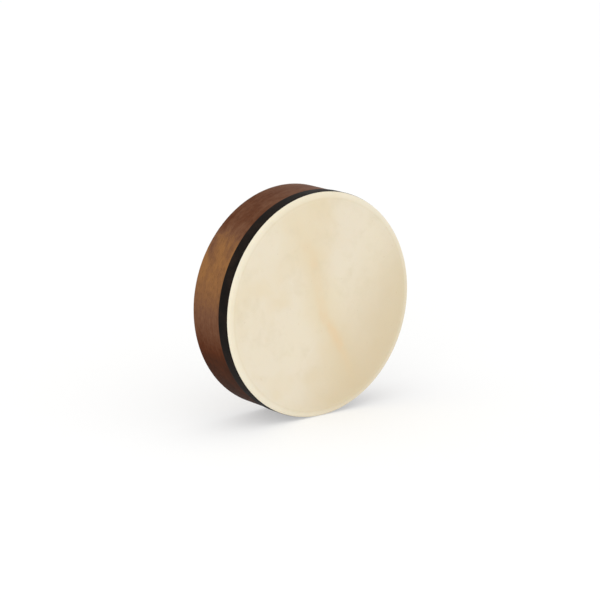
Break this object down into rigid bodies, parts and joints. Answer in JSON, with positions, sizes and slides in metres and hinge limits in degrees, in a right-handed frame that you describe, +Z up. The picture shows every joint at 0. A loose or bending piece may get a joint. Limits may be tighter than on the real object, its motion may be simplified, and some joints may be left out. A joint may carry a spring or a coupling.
{
  "type": "bodhran",
  "caption": "Deep round frame drum with a goatskin head, a stained wooden shell, crossed grip bars and an internal ring that tightens the head.",
  "frame": {"origin": "under the middle of the drum, at the lowest point of its rim, where it stands", "axes": "+Z up, +Y along the drum's axis towards its open back, so the head faces -Y; +X to the right seen from the head"},
  "size_m": [0.46, 0.1208, 0.4599],
  "materials": {
    "stained_wood": "brown stain under satin lacquer",
    "plain_wood": "sanded, unvarnished",
    "goatskin": "natural scraped skin",
    "black_band": "matte black vinyl",
    "cast_zinc": "bright zinc",
    "hardware_steel": "zinc-plated steel"
  },
  "bodies": {
    "drum_shell": {"shell": "stained_wood", "drumhead_lap": "goatskin", "lap_staples": "hardware_steel", "trim_band": "black_band", "tuning_lugs": "cast_zinc", "lug_screws": "hardware_steel", "crossbar_level": "stained_wood", "crossbar_upright": "stained_wood", "crossbar_blocks": "stained_wood", "block_screws": "hardware_steel", "crossbar_screws": "hardware_steel"},
    "tension_ring": {"tone_ring": "plain_wood", "drumhead": "goatskin", "pressure_plates": "cast_zinc", "plate_pins": "hardware_steel"},
    "bolt_1": {"tuning_bolt_1": "hardware_steel"},
    "bolt_2": {"tuning_bolt_2": "hardware_steel"},
    "bolt_3": {"tuning_bolt_3": "hardware_steel"},
    "bolt_4": {"tuning_bolt_4": "hardware_steel"},
    "bolt_5": {"tuning_bolt_5": "hardware_steel"},
    "bolt_6": {"tuning_bolt_6": "hardware_steel"},
    "bolt_7": {"tuning_bolt_7": "hardware_steel"},
    "bolt_8": {"tuning_bolt_8": "hardware_steel"}
  },
  "joints": [
    {"name": "tone_ring_slide", "type": "slide", "parent": "drum_shell", "child": "tension_ring", "axis": [0, -1, 0], "range_m": [-0.0012, 0.004]},
    {"name": "tuning_bolt_1_turn", "type": "hinge", "parent": "tension_ring", "child": "bolt_1", "pos_m": [0.19725, -0.0176, 0.3117], "axis": [0, -1, 0], "range_deg": [-433, 1441]},
    {"name": "tuning_bolt_2_turn", "type": "hinge", "parent": "tension_ring", "child": "bolt_2", "pos_m": [0.0817, -0.0176, 0.42725], "axis": [0, -1, 0], "range_deg": [-433, 1441]},
    {"name": "tuning_bolt_3_turn", "type": "hinge", "parent": "tension_ring", "child": "bolt_3", "pos_m": [-0.0817, -0.0176, 0.42725], "axis": [0, -1, 0], "range_deg": [-433, 1441]},
    {"name": "tuning_bolt_4_turn", "type": "hinge", "parent": "tension_ring", "child": "bolt_4", "pos_m": [-0.19725, -0.0176, 0.3117], "axis": [0, -1, 0], "range_deg": [-433, 1441]},
    {"name": "tuning_bolt_5_turn", "type": "hinge", "parent": "tension_ring", "child": "bolt_5", "pos_m": [-0.19725, -0.0176, 0.1483], "axis": [0, -1, 0], "range_deg": [-433, 1441]},
    {"name": "tuning_bolt_6_turn", "type": "hinge", "parent": "tension_ring", "child": "bolt_6", "pos_m": [-0.0817, -0.0176, 0.03275], "axis": [0, -1, 0], "range_deg": [-433, 1441]},
    {"name": "tuning_bolt_7_turn", "type": "hinge", "parent": "tension_ring", "child": "bolt_7", "pos_m": [0.0817, -0.0176, 0.03275], "axis": [0, -1, 0], "range_deg": [-433, 1441]},
    {"name": "tuning_bolt_8_turn", "type": "hinge", "parent": "tension_ring", "child": "bolt_8", "pos_m": [0.19725, -0.0176, 0.1483], "axis": [0, -1, 0], "range_deg": [-433, 1441]}
  ],
  "couplings": [
    {"joint": "tuning_bolt_1_turn", "follows": "tone_ring_slide", "rad_per_m": 6283.2},
    {"joint": "tuning_bolt_2_turn", "follows": "tone_ring_slide", "rad_per_m": 6283.2},
    {"joint": "tuning_bolt_3_turn", "follows": "tone_ring_slide", "rad_per_m": 6283.2},
    {"joint": "tuning_bolt_4_turn", "follows": "tone_ring_slide", "rad_per_m": 6283.2},
    {"joint": "tuning_bolt_5_turn", "follows": "tone_ring_slide", "rad_per_m": 6283.2},
    {"joint": "tuning_bolt_6_turn", "follows": "tone_ring_slide", "rad_per_m": 6283.2},
    {"joint": "tuning_bolt_7_turn", "follows": "tone_ring_slide", "rad_per_m": 6283.2},
    {"joint": "tuning_bolt_8_turn", "follows": "tone_ring_slide", "rad_per_m": 6283.2}
  ]
}
